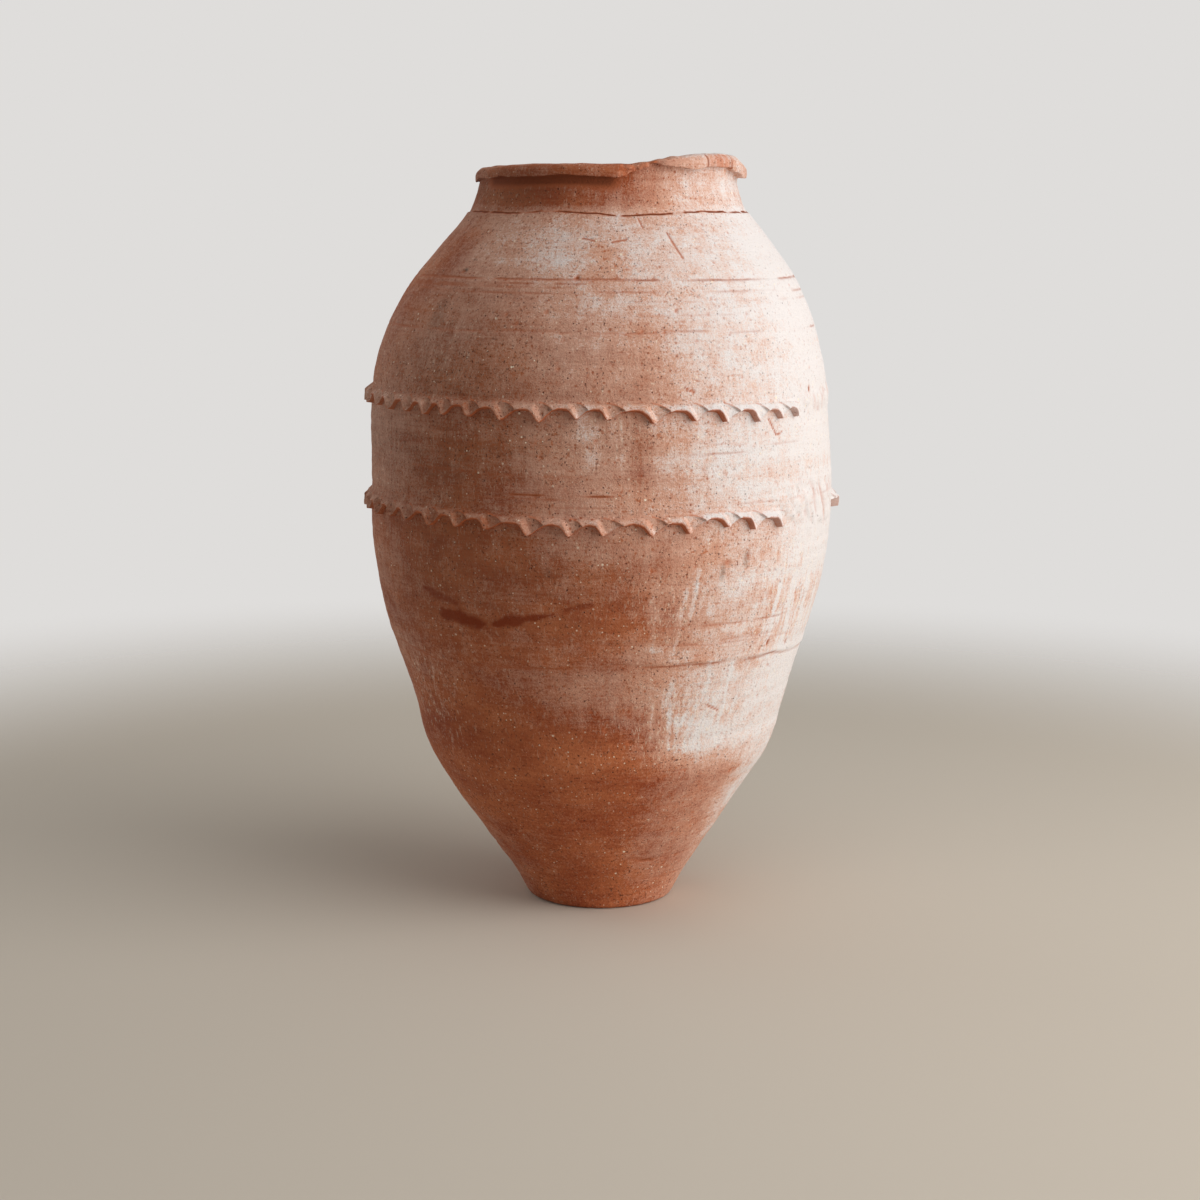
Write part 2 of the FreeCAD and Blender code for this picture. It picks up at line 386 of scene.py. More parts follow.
def dragged_edge(azimuth, height):
    """The rise of the clay dragged down over the belly's lower join, and the painted shadow line under it."""
    level = around(azimuth, dragged_places, dragged_heights) + uneven("dragged_wander", azimuth)
    lumpy = np.clip(0.75 + uneven("dragged_lumps", azimuth), 0, 1)
    over = height - level
    above = ease(over / dragged_edge_width) * np.exp(-np.clip(over, 0, None) / dragged_edge_fade)
    under = mound((over + shadow_line_drop) / shadow_line_half_width) * ease(1.4 * lumpy - 0.3)
    return dragged_edge_rise * lumpy * above, under


# %% [markdown]
# Pits are where bits of grit or lime popped out of the surface in the kiln. The clearest are listed one by
# one, and small ones are scattered with a seed. A scratch is a short straight cut.

# %% Pits and scratches
placed_pits = in_metres([
    # azimuth, height, half width, half height, depth
    (-8.5, 578.5, 3.2, 3.4, 1.6),
    (-47.5, 582, 3.4, 2.0, 1.2),
    (10, 536, 3.2, 1.8, 1.2),
    (22, 487.5, 2.6, 1.6, 1.1),
    (62, 482, 2.4, 4.6, 1.6),
    (-15, 551, 2.6, 2.2, 1.0),
    (-26, 548, 2.4, 2.2, 0.9),
    (-10, 505, 2.6, 2.4, 1.1),
    (-14, 432, 2.6, 2.6, 1.1),
    (19, 552, 2.6, 2.0, 1.0),
    (28, 549, 2.2, 1.8, 0.9),
    (9, 181, 4.5, 3.6, 1.6),
    (2, 193, 4.0, 3.2, 1.3),
    (-26, 184, 2.6, 2.0, 1.4),
    (50, 262, 2.4, 5.0, 1.6),
    (60, 258, 2.4, 3.2, 1.2),
    (31, 341, 3.6, 3.0, 0.9),
    (37, 345, 3.2, 4.0, 0.9),
    (12, 338, 3.0, 3.4, 0.9),
    (50, 141, 5.0, 2.2, 1.1),
    (28, 151, 5.0, 1.6, 0.9),
], 1, 2, 3, 4)
deepest_pit = max(depth for *place, depth in placed_pits)
scattered_pit_count = 420
scattered_pit_sizes = (1.1 * mm, 2.1 * mm)
scattered_pit_level_shares = (0.03, 0.97)
scattered_pit_height_shares = (0.6, 1.1)
scattered_pit_depth_share = 0.45
pit_seed = 61
scratches = in_metres([
    # start azimuth and height, end azimuth and height, half width, depth
    (20, 616, 23.5, 595, 1.2, 0.6),
    (1, 608, 5.5, 610, 1.0, 0.45),
    (-9, 611, -5, 609, 1.0, 0.4),
    (10.5, 628, 11.5, 620, 1.0, 0.5),
    (20, 490, 22.5, 485, 1.1, 0.7),
    (43.5, 461, 46, 446, 1.1, 0.8),
    (46, 446, 48, 448, 1.0, 0.6),
    (32, 211, 36, 205, 1.1, 0.5),
], 1, 3, 4, 5)


def all_pits():
    """The placed pits, and the scattered ones in the same form."""
    random = np.random.default_rng(pit_seed)
    pits = list(placed_pits)
    for number in range(scattered_pit_count):
        size = random.uniform(*scattered_pit_sizes)
        azimuth = random.uniform(-half_turn, half_turn)
        level = random.uniform(*scattered_pit_level_shares) * lip_seat
        half_height = size * random.uniform(*scattered_pit_height_shares)
        pits.append((azimuth, level, size, half_height, size * scattered_pit_depth_share))
    return pits


pits = all_pits()
print(len(pits), "pits")


def along_wall(azimuth, centre, height):
    """Distance along the wall from an azimuth to another at a height."""
    return np.radians(turn_between(azimuth, centre)) * np.interp(height, outline_heights, outline_radii)


def pit_fields(azimuth, height):
    """How deep the pits are at each point of a grid, and how much they bare the clay."""
    depth = np.zeros(azimuth.shape)
    bared = np.zeros(azimuth.shape)
    for centre, level, half_width, half_height, deep in pits:
        rows = np.flatnonzero(abs(height[:, 0] - level) < 1.5 * half_height)
        if len(rows) == 0:
            continue
        part = slice(rows[0], rows[-1] + 1)
        across = along_wall(azimuth[part], centre, level) / half_width
        upward = (height[part] - level) / half_height
        away = np.sqrt(across ** 2 + upward ** 2)
        depth[part] = np.maximum(depth[part], deep * mound(away))
        bared[part] = np.maximum(bared[part], mound(away / 1.25))
    return depth, bared


def from_stroke(azimuth, height, start, start_height, end, end_height, waver=0):
    """How far along a straight stroke each point of a grid lies, as a share, and how far away from it."""
    middle = (start_height + end_height) / 2
    run_across = along_wall(np.array(end), start, middle)
    run_up = end_height - start_height
    across = along_wall(azimuth, start, middle) + waver
    upward = height - start_height
    share = np.clip((across * run_across + upward * run_up) / (run_across ** 2 + run_up ** 2), 0, 1)
    return share, np.hypot(across - share * run_across, upward - share * run_up)


def scratch_fields(azimuth, height):
    """How deep in a scratch each point of a grid lies, from 0 to 1, and its depth."""
    strength = np.zeros(azimuth.shape)
    depth = np.zeros(azimuth.shape)
    for *line, half_width, deep in scratches:
        share, away = from_stroke(azimuth, height, *line)
        here = mound(away / half_width)
        strength = np.maximum(strength, here)
        depth = np.maximum(depth, deep * here)
    return strength, depth


# %% [markdown]
# The whole outer surface is the outline with every mark on it. Beside its radius come the values that the
# material reads: where clay is bared, and where painted shade darkens a groove, a scratch, a pit, the line
# under the dragged edge or the neck under the lip.

# %% The outer surface
scars = in_metres([
    # where a stretch of band broke off: middle azimuth, half span, middle height, half height, roughness
    (64, 17, 381, 25, 2.2),
    (78, 24, 472, 12, 0.9),
], 2, 3, 4)
scar_stub = 1.3 * mm
scar_slant = 0.13 / mm
# The stretch where painted shade lies under the lip: its middle, half span and fade
lip_shade_span = (-30, 38, 8)
lip_shade_reach = 9 * mm
edge_calm_height = 12 * mm
scraped_top = 270 * mm
scraped_fade = 60 * mm


def scar_fields(azimuth, height):
    """Relief of the torn clay where stretches of band broke off, and how torn it is."""
    relief = np.zeros(azimuth.shape)
    torn = np.zeros(azimuth.shape)
    slanted = azimuth + scar_slant * height
    for number, (middle, half_span, level, half_height, rough) in enumerate(scars):
        across = turn_between(azimuth, middle) / half_span
        upward = (height - level) / half_height
        ragged = uneven("scar_edge", azimuth, height, number)
        here = ease((1 - np.hypot(across, upward) + ragged) * 3)
        coarse = uneven("scar_lumps", slanted, height, number)
        fine = uneven("scar_crumbs", slanted, height, number)
        relief += here * (rough * (0.55 * coarse + 0.45 * fine) + scar_stub * mound(upward))
        torn = np.maximum(torn, here * np.clip(-0.9 * coarse - 0.9 * fine - 0.3, 0, 1))
    return relief, torn


def outer_surface(azimuth, height):
    """Radius of the wall on a grid of azimuths and heights, with its bared marks and its painted shade."""
    radius = np.interp(height, outline_heights, outline_radii)
    below = np.clip(foot_rounding - height, 0, foot_rounding)
    radius -= foot_rounding - np.sqrt(foot_rounding ** 2 - below ** 2)
    edge_calm = ease(height / edge_calm_height)
    radius += uneven("wall_swelling", azimuth, height) * edge_calm
    radius += uneven("wall_dents", azimuth, height) * edge_calm
    radius += uneven("wall_waves", azimuth, height)
    radius += uneven("wall_lines", azimuth, height)
    radius += uneven("scraping", azimuth, height) * ease((scraped_top - height) / scraped_fade)
    dark = np.zeros(azimuth.shape)
    for number, line in enumerate(level_lines):
        groove, darkness = line_marks(azimuth, height, line, number)
        radius -= groove
        dark = np.maximum(dark, darkness)
    dragged, under_dragged = dragged_edge(azimuth, height)
    groove = neck_groove(azimuth, height)
    relief, torn = scar_fields(azimuth, height)
    radius += dragged + relief
    radius -= neck_setback(azimuth, height) + ledge_groove_depth * groove
    pit_depth, bared = pit_fields(azimuth, height)
    scratch, scratch_depth = scratch_fields(azimuth, height)
    radius -= pit_depth + scratch_depth
    # Painted shade in the deep middles of the pits
    in_pit = ease(2.2 * pit_depth / deepest_pit - 0.9)
    # Painted shade on the neck under the overhanging lip, with a wavering lower edge
    shade_reach = lip_shade_reach * (1 + uneven("lip_shade_edge", azimuth))
    lip_shade = ease((height - lip_seat + shade_reach) / shade_reach) * on_span(azimuth, *lip_shade_span)
    # Painted shade in the neck's torn groove
    groove_shade = np.clip(1.25 * groove, 0, 1)
    bared = strongest(0.6 * bared, 0.7 * scratch, 0.45 * torn)
    dark = strongest(dark, groove_shade, 0.4 * scratch, 0.45 * under_dragged, 0.6 * in_pit, 0.75 * lip_shade)
    return radius, bared, dark


# %% [markdown]
# The bloom is a chalky film of lime and salts that came out of the clay as it weathered. It is thick on the
# shoulder and on the side that the weather reached, and thin over the foot. On the right it is also made
# thicker and whiter, as painted light from the window side. Rain has washed pale drips of it down the wall.
# Where it is thin, a dull brown film of soil and hands lies on the clay instead. The film is laid on
# thicker on the left, partly as painted shade.

# %% Bloom, film and stains
bloom_heights = np.array([0, 140, 175, 225, 280, 325, 375, 435, 510, 560, 610, 630, 640, 685]) * mm
bloom_and_painted_light_by_side = {
    # how thick the bloom lies at those heights, on seven sides of the jar, with painted light on the right
    -70: [0.3, 0.15, 0.25, 0.25, 0.2, 0.32, 0.42, 0.5, 0.32, 0.3, 0.35, 0.4, 0.1, 0.1],
    -33: [0.0, 0.0, 0.05, 0.1, 0.0, 0.02, 0.2, 0.15, 0.25, 0.5, 0.8, 0.75, 0.0, 0.0],
    0: [0.0, 0.0, 0.0, 0.5, 0.15, 0.2, 0.5, 0.6, 0.52, 0.75, 0.85, 0.8, 0.05, 0.1],
    38: [0.35, 0.5, 1.05, 1.0, 0.85, 1.0, 1.0, 1.05, 1.1, 1.2, 1.2, 1.15, 1.0, 1.0],
    68: [0.65, 1.1, 1.3, 1.3, 1.2, 1.3, 1.3, 1.3, 1.3, 1.35, 1.35, 1.3, 1.1, 1.1],
    110: [0.5, 0.8, 1.05, 1.15, 1.1, 1.05, 1.1, 1.1, 1.05, 1.1, 1.15, 1.15, 0.95, 0.9],
    190: [0.2, 0.1, 0.4, 0.5, 0.5, 0.6, 0.6, 0.6, 0.6, 0.7, 0.8, 0.8, 0.5, 0.4],
}
film_heights = np.array([0, 130, 178, 228, 277, 325, 403, 432, 507, 545, 610, 650, 690]) * mm
film_shares = np.array([0.0, 0.05, 0.15, 0.2, 0.35, 0.5, 0.5, 0.75, 0.7, 0.4, 0.25, 0.55, 0.4])
bloom_patches = in_metres([
    # azimuth, height, half width, half height, how much more or less bloom
    (9, 428, 15, 46, -0.4),
    (8, 300, 48, 30, -0.05),
    (-3, 455, 15, 34, 0.25),
    (11, 515, 20, 45, -0.15),
    (22, 515, 24, 30, 0.1),
    (0, 590, 26, 34, -0.25),
    (-20, 600, 40, 30, 0.1),
    (2, 640, 12, 24, 0.2),
    (-58, 600, 34, 40, -0.2),
    (28, 186, 50, 40, 0.15),
    (15, 262, 50, 16, 0.3),
    (140, 500, 90, 80, -0.35),
    (-150, 330, 90, 80, 0.3),
    (175, 250, 90, 60, 0.25),
    (-115, 560, 60, 60, 0.25),
    (120, 150, 70, 60, -0.25),
], 1, 2, 3)
washed_patches = in_metres([
    # azimuth, height, half width, half height, how strongly rain has streaked the bloom there
    (18, 300, 70, 60, 0.7),
    (62, 290, 130, 110, 1.0),
    (24, 200, 100, 60, 0.9),
    (-60, 210, 80, 90, 0.9),
    (-42, 520, 60, 50, 0.5),
    (4, 450, 60, 60, 0.5),
    (70, 440, 120, 120, 0.5),
    (150, 300, 160, 160, 0.8),
    (-140, 330, 160, 160, 0.8),
], 1, 2, 3)
washed_everywhere_share = 0.2
thickest_bloom = 1.4
drips = in_metres([
    # top azimuth and height, bottom azimuth and height, half width, strength
    (13.5, 338, 12.4, 312, 3.0, 0.5),
    (12.4, 312, 13.8, 266, 3.4, 0.8),
    (20.5, 318, 19.3, 262, 2.6, 0.7),
    (23.5, 336, 22.2, 285, 2.4, 0.6),
    (50, 312, 49, 258, 3.2, 0.9),
    (56, 320, 57, 220, 4.0, 0.7),
    (19.5, 226, 21, 172, 2.6, 0.7),
    (14.5, 222, 15, 188, 2.8, 0.6),
    (38, 250, 38, 200, 2.4, 0.6),
    (30.5, 250, 31, 226, 2.4, 0.6),
    (-52, 236, -54.5, 216, 1.8, 0.9),
    (-43, 231, -45.5, 213, 1.7, 0.9),
    (-51.5, 178, -54, 156, 2.2, 0.9),
    (-63, 262, -60, 230, 1.8, 0.5),
    (64, 330, 66, 240, 4.0, 0.7),
    (72, 300, 73, 230, 3.0, 0.7),
    (-48, 545, -47, 500, 3.0, 0.3),
    (-40, 550, -40, 505, 3.0, 0.3),
], 1, 3, 4)
drip_share = 0.3
stain_strokes = in_metres([
    # an oily brown stain: start azimuth and height, end azimuth and height, half heights at both, strength
    (-47.5, 311, -42, 306, 3.0, 5.0, 0.8),
    (-42, 306, -36.5, 302, 5.0, 2.6, 0.7),
    (-41, 290, -36, 289.5, 8.0, 10.0, 0.95),
    (-36, 289.5, -30, 285, 10.0, 5.0, 1.0),
    (-26.3, 286, -22.5, 290, 3.2, 8.0, 1.0),
    (-22.5, 290, -10.5, 298.5, 8.0, 1.2, 0.95),
    (-8, 303, -2, 308, 2.0, 4.0, 0.7),
], 1, 3, 4, 5)
soot_spots = in_metres([
    # grey spots where soot or lichen sat: azimuth, height, half width, half height, strength
    (30, 333, 4, 12, 0.5),
    (36.5, 343, 5, 12, 0.45),
    (-49, 545, 14, 22, 0.3),
    (-47, 583, 5, 3, 0.9),
    (-46, 592, 2.4, 2, 0.6),
    (-12, 335, 6, 8, 0.25),
], 1, 2, 3)


def stroke(azimuth, height, start, start_height, end, end_height, half_start, half_end):
    """How much a tapering stroke with wavering edges covers each point of a grid."""
    waver = 0.4 * half_start * uneven("stroke_waver", azimuth * 0 + start, height)
    share, away = from_stroke(azimuth, height, start, start_height, end, end_height, waver)
    half = half_start + (half_end - half_start) * share
    return ease((1 - away / half + uneven("stroke_edge", azimuth, height)) * 1.8)


def blob(azimuth, height, centre, level, half_width, half_height):
    """A soft round patch on the wall."""
    across = along_wall(azimuth, centre, level) / half_width
    upward = (height - level) / half_height
    return mound(np.sqrt(across ** 2 + upward ** 2))


def side_weight(azimuth, before, place, after):
    """How much a side counts at an azimuth: 1 at its own, and 0 from the next side on."""
    turn = turn_between(azimuth, place)
    span_before = (place - before) % full_turn
    span_after = (after - place) % full_turn
    return np.where(turn < 0, ease(1 + turn / span_before), ease(1 - turn / span_after))


def bloom_field(azimuth, height):
    """How thick the bloom lies, from 0 to a little over 1."""
    bloom = np.zeros(azimuth.shape)
    sides = list(bloom_and_painted_light_by_side)
    for number, side in enumerate(sides):
        weight = side_weight(azimuth, sides[number - 1], side, sides[(number + 1) % len(sides)])
        bloom += weight * np.interp(height, bloom_heights, bloom_and_painted_light_by_side[side])
    bloom += uneven("bloom_clouds", azimuth, height)
    bloom += uneven("bloom_lines", azimuth, height)
    for *patch, amount in bloom_patches:
        bloom += amount * blob(azimuth, height, *patch)
    for *line, half_width, strength in drips:
        bloom += drip_share * strength * stroke(azimuth, height, *line, 1.4 * half_width, 0.9 * half_width)
    return np.clip(bloom, 0, thickest_bloom)


def finish_fields(azimuth, height):
    """What lies on the clay at each point of a grid: bloom, film, stain, soot and rain streaks."""
    # Less film to the right; on the left the film is partly painted shade
    right_share = ease(0.5 + 0.45 * np.sin(np.radians(azimuth)))
    film = np.interp(height, film_heights, film_shares) * (1 - 0.9 * right_share)
    film = film * (1 + uneven("film_clouds", azimuth, height))
    stains = [strength * stroke(azimuth, height, *line) for *line, strength in stain_strokes]
    soots = [amount * blob(azimuth, height, *spot) for *spot, amount in soot_spots]
    streaks = [amount * blob(azimuth, height, *patch) for *patch, amount in washed_patches]
    return {
        "bloom": bloom_field(azimuth, height),
        "film": np.clip(film, 0, 1),
        "stain": strongest(*stains),
        "soot": strongest(*soots),
        "washed": strongest(washed_everywhere_share, *streaks),
        "bared": np.zeros(azimuth.shape),
        "dark": np.zeros(azimuth.shape),
    }


# %% [markdown]
# Every ring is one closed mesh: up the outside, over the bevel at its top, down the inside, and back over the
# bevel at its foot. It is a grid of points, one row per height and one column per azimuth. The values for
# the material are stored on the points.

# %% Build a mesh from rows of points
columns = 840
azimuths = np.arange(columns) * full_turn / columns
corner_angle = math.radians(48)


def placed(azimuth, radius, height):
    """Points at azimuths, radii and heights, round the leaning axis of the jar."""
    turn = np.radians(azimuth)
    x = axis_lean(height) + radius * np.sin(turn)
    y = -radius * np.cos(turn)
    return np.stack([x, y, height], axis=-1)


def grid_faces(rows, count, closed_rows, closed_columns):
    """Four-sided faces between neighbouring rows and columns of a grid of points."""
    row = np.arange(rows if closed_rows else rows - 1)[:, None]
    column = np.arange(count if closed_columns else count - 1)[None, :]
    next_row = (row + 1) % rows
    next_column = (column + 1) % count
    corners = [
        row * count + column,
        row * count + next_column,
        next_row * count + next_column,
        next_row * count + column,
    ]
    return np.stack(corners, axis=-1).reshape(-1, 4).tolist()


def make_piece(name, points, faces, fields):
    """Make an object from points, faces and the material's values at each point."""
    mesh = bpy.data.meshes.new(name)
    mesh.from_pydata(points.reshape(-1, 3).tolist(), [], faces)
    mesh.shade_smooth()
    mesh.set_sharp_from_angle(angle=corner_angle)
    for field_name, values in fields.items():
        attribute = mesh.attributes.new(field_name, "FLOAT", "POINT")
        attribute.data.foreach_set("value", np.ascontiguousarray(values, np.float32).ravel())
    piece = bpy.data.objects.new(name, mesh)
    bpy.context.scene.collection.objects.link(piece)
    return piece


def finish_piece(piece, node, material):
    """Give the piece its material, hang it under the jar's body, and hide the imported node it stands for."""
    piece.data.materials.append(material)
    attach(piece, "root")
    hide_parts(node)
    print(piece.name, len(piece.data.polygons), "faces")


# %% [markdown]
# The material comes before the pieces, so that each can take it as it is made. Low-fired terracotta is porous
# and quite matt: light sinks into it and comes back soft, with almost no gloss. Its colour is iron oxide,
# deeper where it fired hotter. Colours are sRGB hex values, which one function turns into linear light.

# %% Colours and a helper for nodes
def linear(hex_colour):
    """The linear colour of an sRGB hex value."""
    channels = [int(hex_colour[start:start + 2], 16) / 255 for start in (1, 3, 5)]
    turned = [c / 12.92 if c <= 0.04045 else ((c + 0.055) / 1.055) ** 2.4 for c in channels]
    return (*turned, 1)


def add_node(tree, kind, settings):
    """Add a node. Each setting is a value, or another node's output that is joined to the input."""
    made = tree.nodes.new(kind)
    for name, value in settings.items():
        if isinstance(value, bpy.types.NodeSocket):
            tree.links.new(value, made.inputs[name])
        elif isinstance(name, int) or name in made.inputs:
            made.inputs[name].default_value = value
        else:
            setattr(made, name, value)
    return made


# %% [markdown]
# One material serves the whole jar, because it is one firing of one clay. It works in layers, as the surface
# grew: mottled clay, brown film, bloom, specks of lime and pits, and last the bared and stained places and
# the painted shade that the meshes mark. Fine noise breaks up the bloom, so it lies in the clay's grain as
# rubbed chalk does.

# %% Low-fired terracotta
clay_deep = linear("#964626")
clay_light = linear("#C4744A")
clay_bared = linear("#BC673F")
film_brown = linear("#79503A")
bloom_pink = linear("#DAAF99")
bloom_chalk = linear("#E2DCD9")
lime_white = linear("#F2E3CC")
pit_brown = linear("#4E2618")
painted_shade_brown = linear("#4A2012")
stain_brown = linear("#7C2F0E")
soot_grey = linear("#6A5B50")
clay_surface = {"IOR": 1.5, "Specular IOR Level": 0.25, "Roughness": 0.93}
even = (1.0, 1.0, 1.0)
squat = (1.0, 1.0, 1.8)
level_streak = (1.0, 1.0, 12.0)
upright_streak = (1.0, 1.0, 0.1)
scraped = (1.0, 1.0, 0.3)
mottle_size = 70 * mm
grain_size = 2.2 * mm
dust_size = 1.1 * mm
level_streak_size = 24 * mm
upright_streak_size = 4.5 * mm
grain_relief = 0.7 * mm
bloom_noises = [
    # stretch, size, detail, how strongly it breaks up the bloom
    (even, 16 * mm, 6, 0.7),
    (even, grain_size, 3, 0.4),
    (even, dust_size, 1, 0.4),
    (level_streak, level_streak_size, 4, 0.35),
]
spot_kinds = {
    # spacing, share of it that the radius is, share of the spots that is kept
    "lime": (7 * mm, 0.2, 0.5),
    "fine lime": (3.6 * mm, 0.26, 0.5),
    "rubbed": (4.6 * mm, 0.34, 0.8),
    "pit": (5 * mm, 0.2, 0.8),
    "fine pit": (2.8 * mm, 0.3, 0.8),
}
fleck_kinds = {
    # stretch, size, how high a peak has to be
    "worn through": (even, 4.2 * mm, 0.59),
    "chalk": (scraped, 2.4 * mm, 0.59),
    "grit hole": (even, 2.7 * mm, 0.61),
}
fleck_edge = 0.06


def stretched_noise(tree, where, stretch, size, detail):
    """Noise drawn out along one way, for brushed and washed marks."""
    mapped = add_node(tree, "ShaderNodeMapping", {"Scale": stretch, "Vector": where})
    settings = {"Scale": 1 / size, "Detail": detail, "Roughness": 0.6, "Vector": mapped.outputs[0]}
    return add_node(tree, "ShaderNodeTexNoise", settings).outputs[0]


def reached(tree, source, low, high):
    """A value drawn out so that it is 0 at the low end and 1 at the high end."""
    settings = {"From Min": low, "From Max": high, "To Min": 0.0, "To Max": 1.0, "Value": source}
    return add_node(tree, "ShaderNodeMapRange", settings).outputs[0]


def worked_out(tree, operation, first, second, third=0.0):
    """One sum on values or sockets."""
    settings = {"operation": operation, 0: first, 1: second, 2: third}
    return add_node(tree, "ShaderNodeMath", settings).outputs[0]


def spots(tree, where, spacing, radius_share, kept_share):
    """Small round spots, one to a cell, of which only some are kept."""
    cells = add_node(tree, "ShaderNodeTexVoronoi", {"Scale": 1 / spacing, "Vector": where})
    picked = add_node(tree, "ShaderNodeSeparateColor", {"Color": cells.outputs["Color"]})
    kept = reached(tree, picked.outputs[0], 1 - kept_share, 1.0)
    edge = worked_out(tree, "MULTIPLY", kept, radius_share)
    gap = worked_out(tree, "SUBTRACT", edge, cells.outputs["Distance"])
    return reached(tree, gap, 0.0, radius_share * 0.4)


def flecks(tree, where, stretch, size, low):
    """Ragged flecks, which are the peaks of a noise."""
    return reached(tree, stretched_noise(tree, where, stretch, size, 3), low, low + fleck_edge)


def field(tree, name):
    """A value that the mesh carries."""
    return add_node(tree, "ShaderNodeAttribute", {"attribute_name": name}).outputs["Fac"]


def bloom_thickness(tree, where):
    """How thick the bloom lies, broken up by the clay's grain, by brush lines and by rain streaks."""
    streaked = worked_out(tree, "MULTIPLY_ADD", field(tree, "washed"), 1.4, 0.1)
    total = field(tree, "bloom")
    for *kind, weight in [*bloom_noises, (upright_streak, upright_streak_size, 4, streaked)]:
        centred = worked_out(tree, "SUBTRACT", stretched_noise(tree, where, *kind), 0.5)
        total = worked_out(tree, "MULTIPLY_ADD", centred, weight, total)
    return total


def layered(tree, under, over, cover, share=None):
    """One colour laid over another, as far as it covers, or as a share of that."""
    if share is not None:
        cover = worked_out(tree, "MULTIPLY", cover, share)
    return add_node(tree, "ShaderNodeMixRGB", {"Color1": under, "Color2": over, "Fac": cover}).outputs[0]


def weathered_colour(tree, where, mottle, freckle, brushed, pit):
    """The colour of the clay with everything that lies on it."""
    spot = {name: spots(tree, where, *kind) for name, kind in spot_kinds.items() if name != "pit"}
    fleck = {name: flecks(tree, where, *kind) for name, kind in fleck_kinds.items()}
    mottled = worked_out(tree, "MULTIPLY_ADD", freckle, 0.6, mottle)
    mottled = worked_out(tree, "MULTIPLY_ADD", brushed, 0.3, mottled)
    clay = layered(tree, clay_deep, clay_light, reached(tree, mottled, 0.75, 1.15))
    clay = layered(tree, clay, film_brown, reached(tree, freckle, 0.25, 0.55), field(tree, "film"))
    thickness = bloom_thickness(tree, where)
    bloom = layered(tree, bloom_pink, bloom_chalk, reached(tree, thickness, 0.76, 1.2))
    colour = layered(tree, clay, bloom, reached(tree, thickness, 0.1, 0.95))
    thin_bloom = reached(tree, field(tree, "bloom"), 1.25, 0.7)
    pitted = worked_out(tree, "MULTIPLY_ADD", thin_bloom, 0.55, 0.25)
    speckled = worked_out(tree, "MULTIPLY_ADD", thin_bloom, 0.75, 0.15)
    speckled = worked_out(tree, "MULTIPLY", speckled, reached(tree, mottle, 0.3, 0.62))
    clustered = reached(tree, mottle, 0.38, 0.6)
    chalky = worked_out(tree, "MULTIPLY", field(tree, "washed"), 0.6)
    dark = field(tree, "dark")
    layers = [
        # what lies there, how far it covers, and the share of that
        (clay, spot["rubbed"], pitted),
        (clay, fleck["worn through"], speckled),
        (lime_white, fleck["chalk"], chalky),
        (lime_white, spot["lime"], clustered),
        (lime_white, spot["fine lime"], clustered),
        (pit_brown, fleck["grit hole"], speckled),
        (pit_brown, pit, pitted),
        (pit_brown, spot["fine pit"], pitted),
        (clay_bared, field(tree, "bared")),
        (soot_grey, field(tree, "soot")),
        (stain_brown, field(tree, "stain"), 0.88),
        # Painted shade that the meshes mark: first towards bare clay, then dark brown
        (clay_bared, reached(tree, dark, 0.0, 0.6)),
        (painted_shade_brown, worked_out(tree, "POWER", dark, 1.6)),
    ]
    for over, *cover in layers:
        colour = layered(tree, colour, over, *cover)
    return colour


def low_fired_terracotta():
    """Porous red clay under a chalky bloom."""
    material = bpy.data.materials.new("low_fired_terracotta")
    material.use_nodes = True
    tree = material.node_tree
    surface = tree.nodes["Principled BSDF"]
    for name, value in clay_surface.items():
        surface.inputs[name].default_value = value
    where = add_node(tree, "ShaderNodeTexCoord", {}).outputs["Object"]
    mottle = stretched_noise(tree, where, squat, mottle_size, 8)
    freckle = stretched_noise(tree, where, even, grain_size, 4)
    brushed = stretched_noise(tree, where, level_streak, level_streak_size, 5)
    pit = spots(tree, where, *spot_kinds["pit"])
    colour = weathered_colour(tree, where, mottle, freckle, brushed, pit)
    tree.links.new(colour, surface.inputs["Base Color"])
    dust = stretched_noise(tree, where, even, dust_size, 2)
    relief = worked_out(tree, "MULTIPLY_ADD", dust, 0.5, freckle)
    relief = worked_out(tree, "MULTIPLY_ADD", brushed, 0.4, relief)
    relief = worked_out(tree, "SUBTRACT", relief, pit)
    bumped = add_node(tree, "ShaderNodeBump", {"Distance": grain_relief, "Strength": 0.9, "Height": relief})
    tree.links.new(bumped.outputs[0], surface.inputs["Normal"])
    return material


terracotta = low_fired_terracotta()
print("material", terracotta.name, len(terracotta.node_tree.nodes), "nodes")

# %% [markdown]
# The rings of the wall. The foot is the same idea with a floor: its rows start at the middle of the underside
# and end at the middle of the floor, and a fan of triangles closes each end.

# %% Wall rings
outer_row_height = 1.6 * mm
neck_row_height = 0.8 * mm
inner_row_height = 6 * mm
floor_corner = 8 * mm
inner_bloom_share = 0.4
inner_film_share = 0.35
flat_bloom_share = 0.3
flat_film_share = 0.2


def even_rows(start, end, step):
    """Heights from start to end, about a step apart, with both ends."""
    count = max(int(round(abs(end - start) / step)), 1)
    return np.linspace(start, end, count + 1)


def outer_rows(start, end):
    """Points and values up the outside between two heights."""
    row_height = neck_row_height if start >= foot_heights["neck_slope"] else outer_row_height
    azimuth, height = np.meshgrid(azimuths, even_rows(start, end, row_height))
    radius, bared, dark = outer_surface(azimuth, height)
    fields = finish_fields(azimuth, height)
    fields.update(bared=bared, dark=dark)
    return placed(azimuth, radius, height), fields


def unseen_fields(shape, bloom, film):
    """Values for clay that no rain reached."""
    fields = {name: np.zeros(shape) for name in ["washed", "stain", "soot", "bared", "dark"]}
    fields.update(bloom=np.zeros(shape) + bloom, film=np.zeros(shape) + film)
    return fields


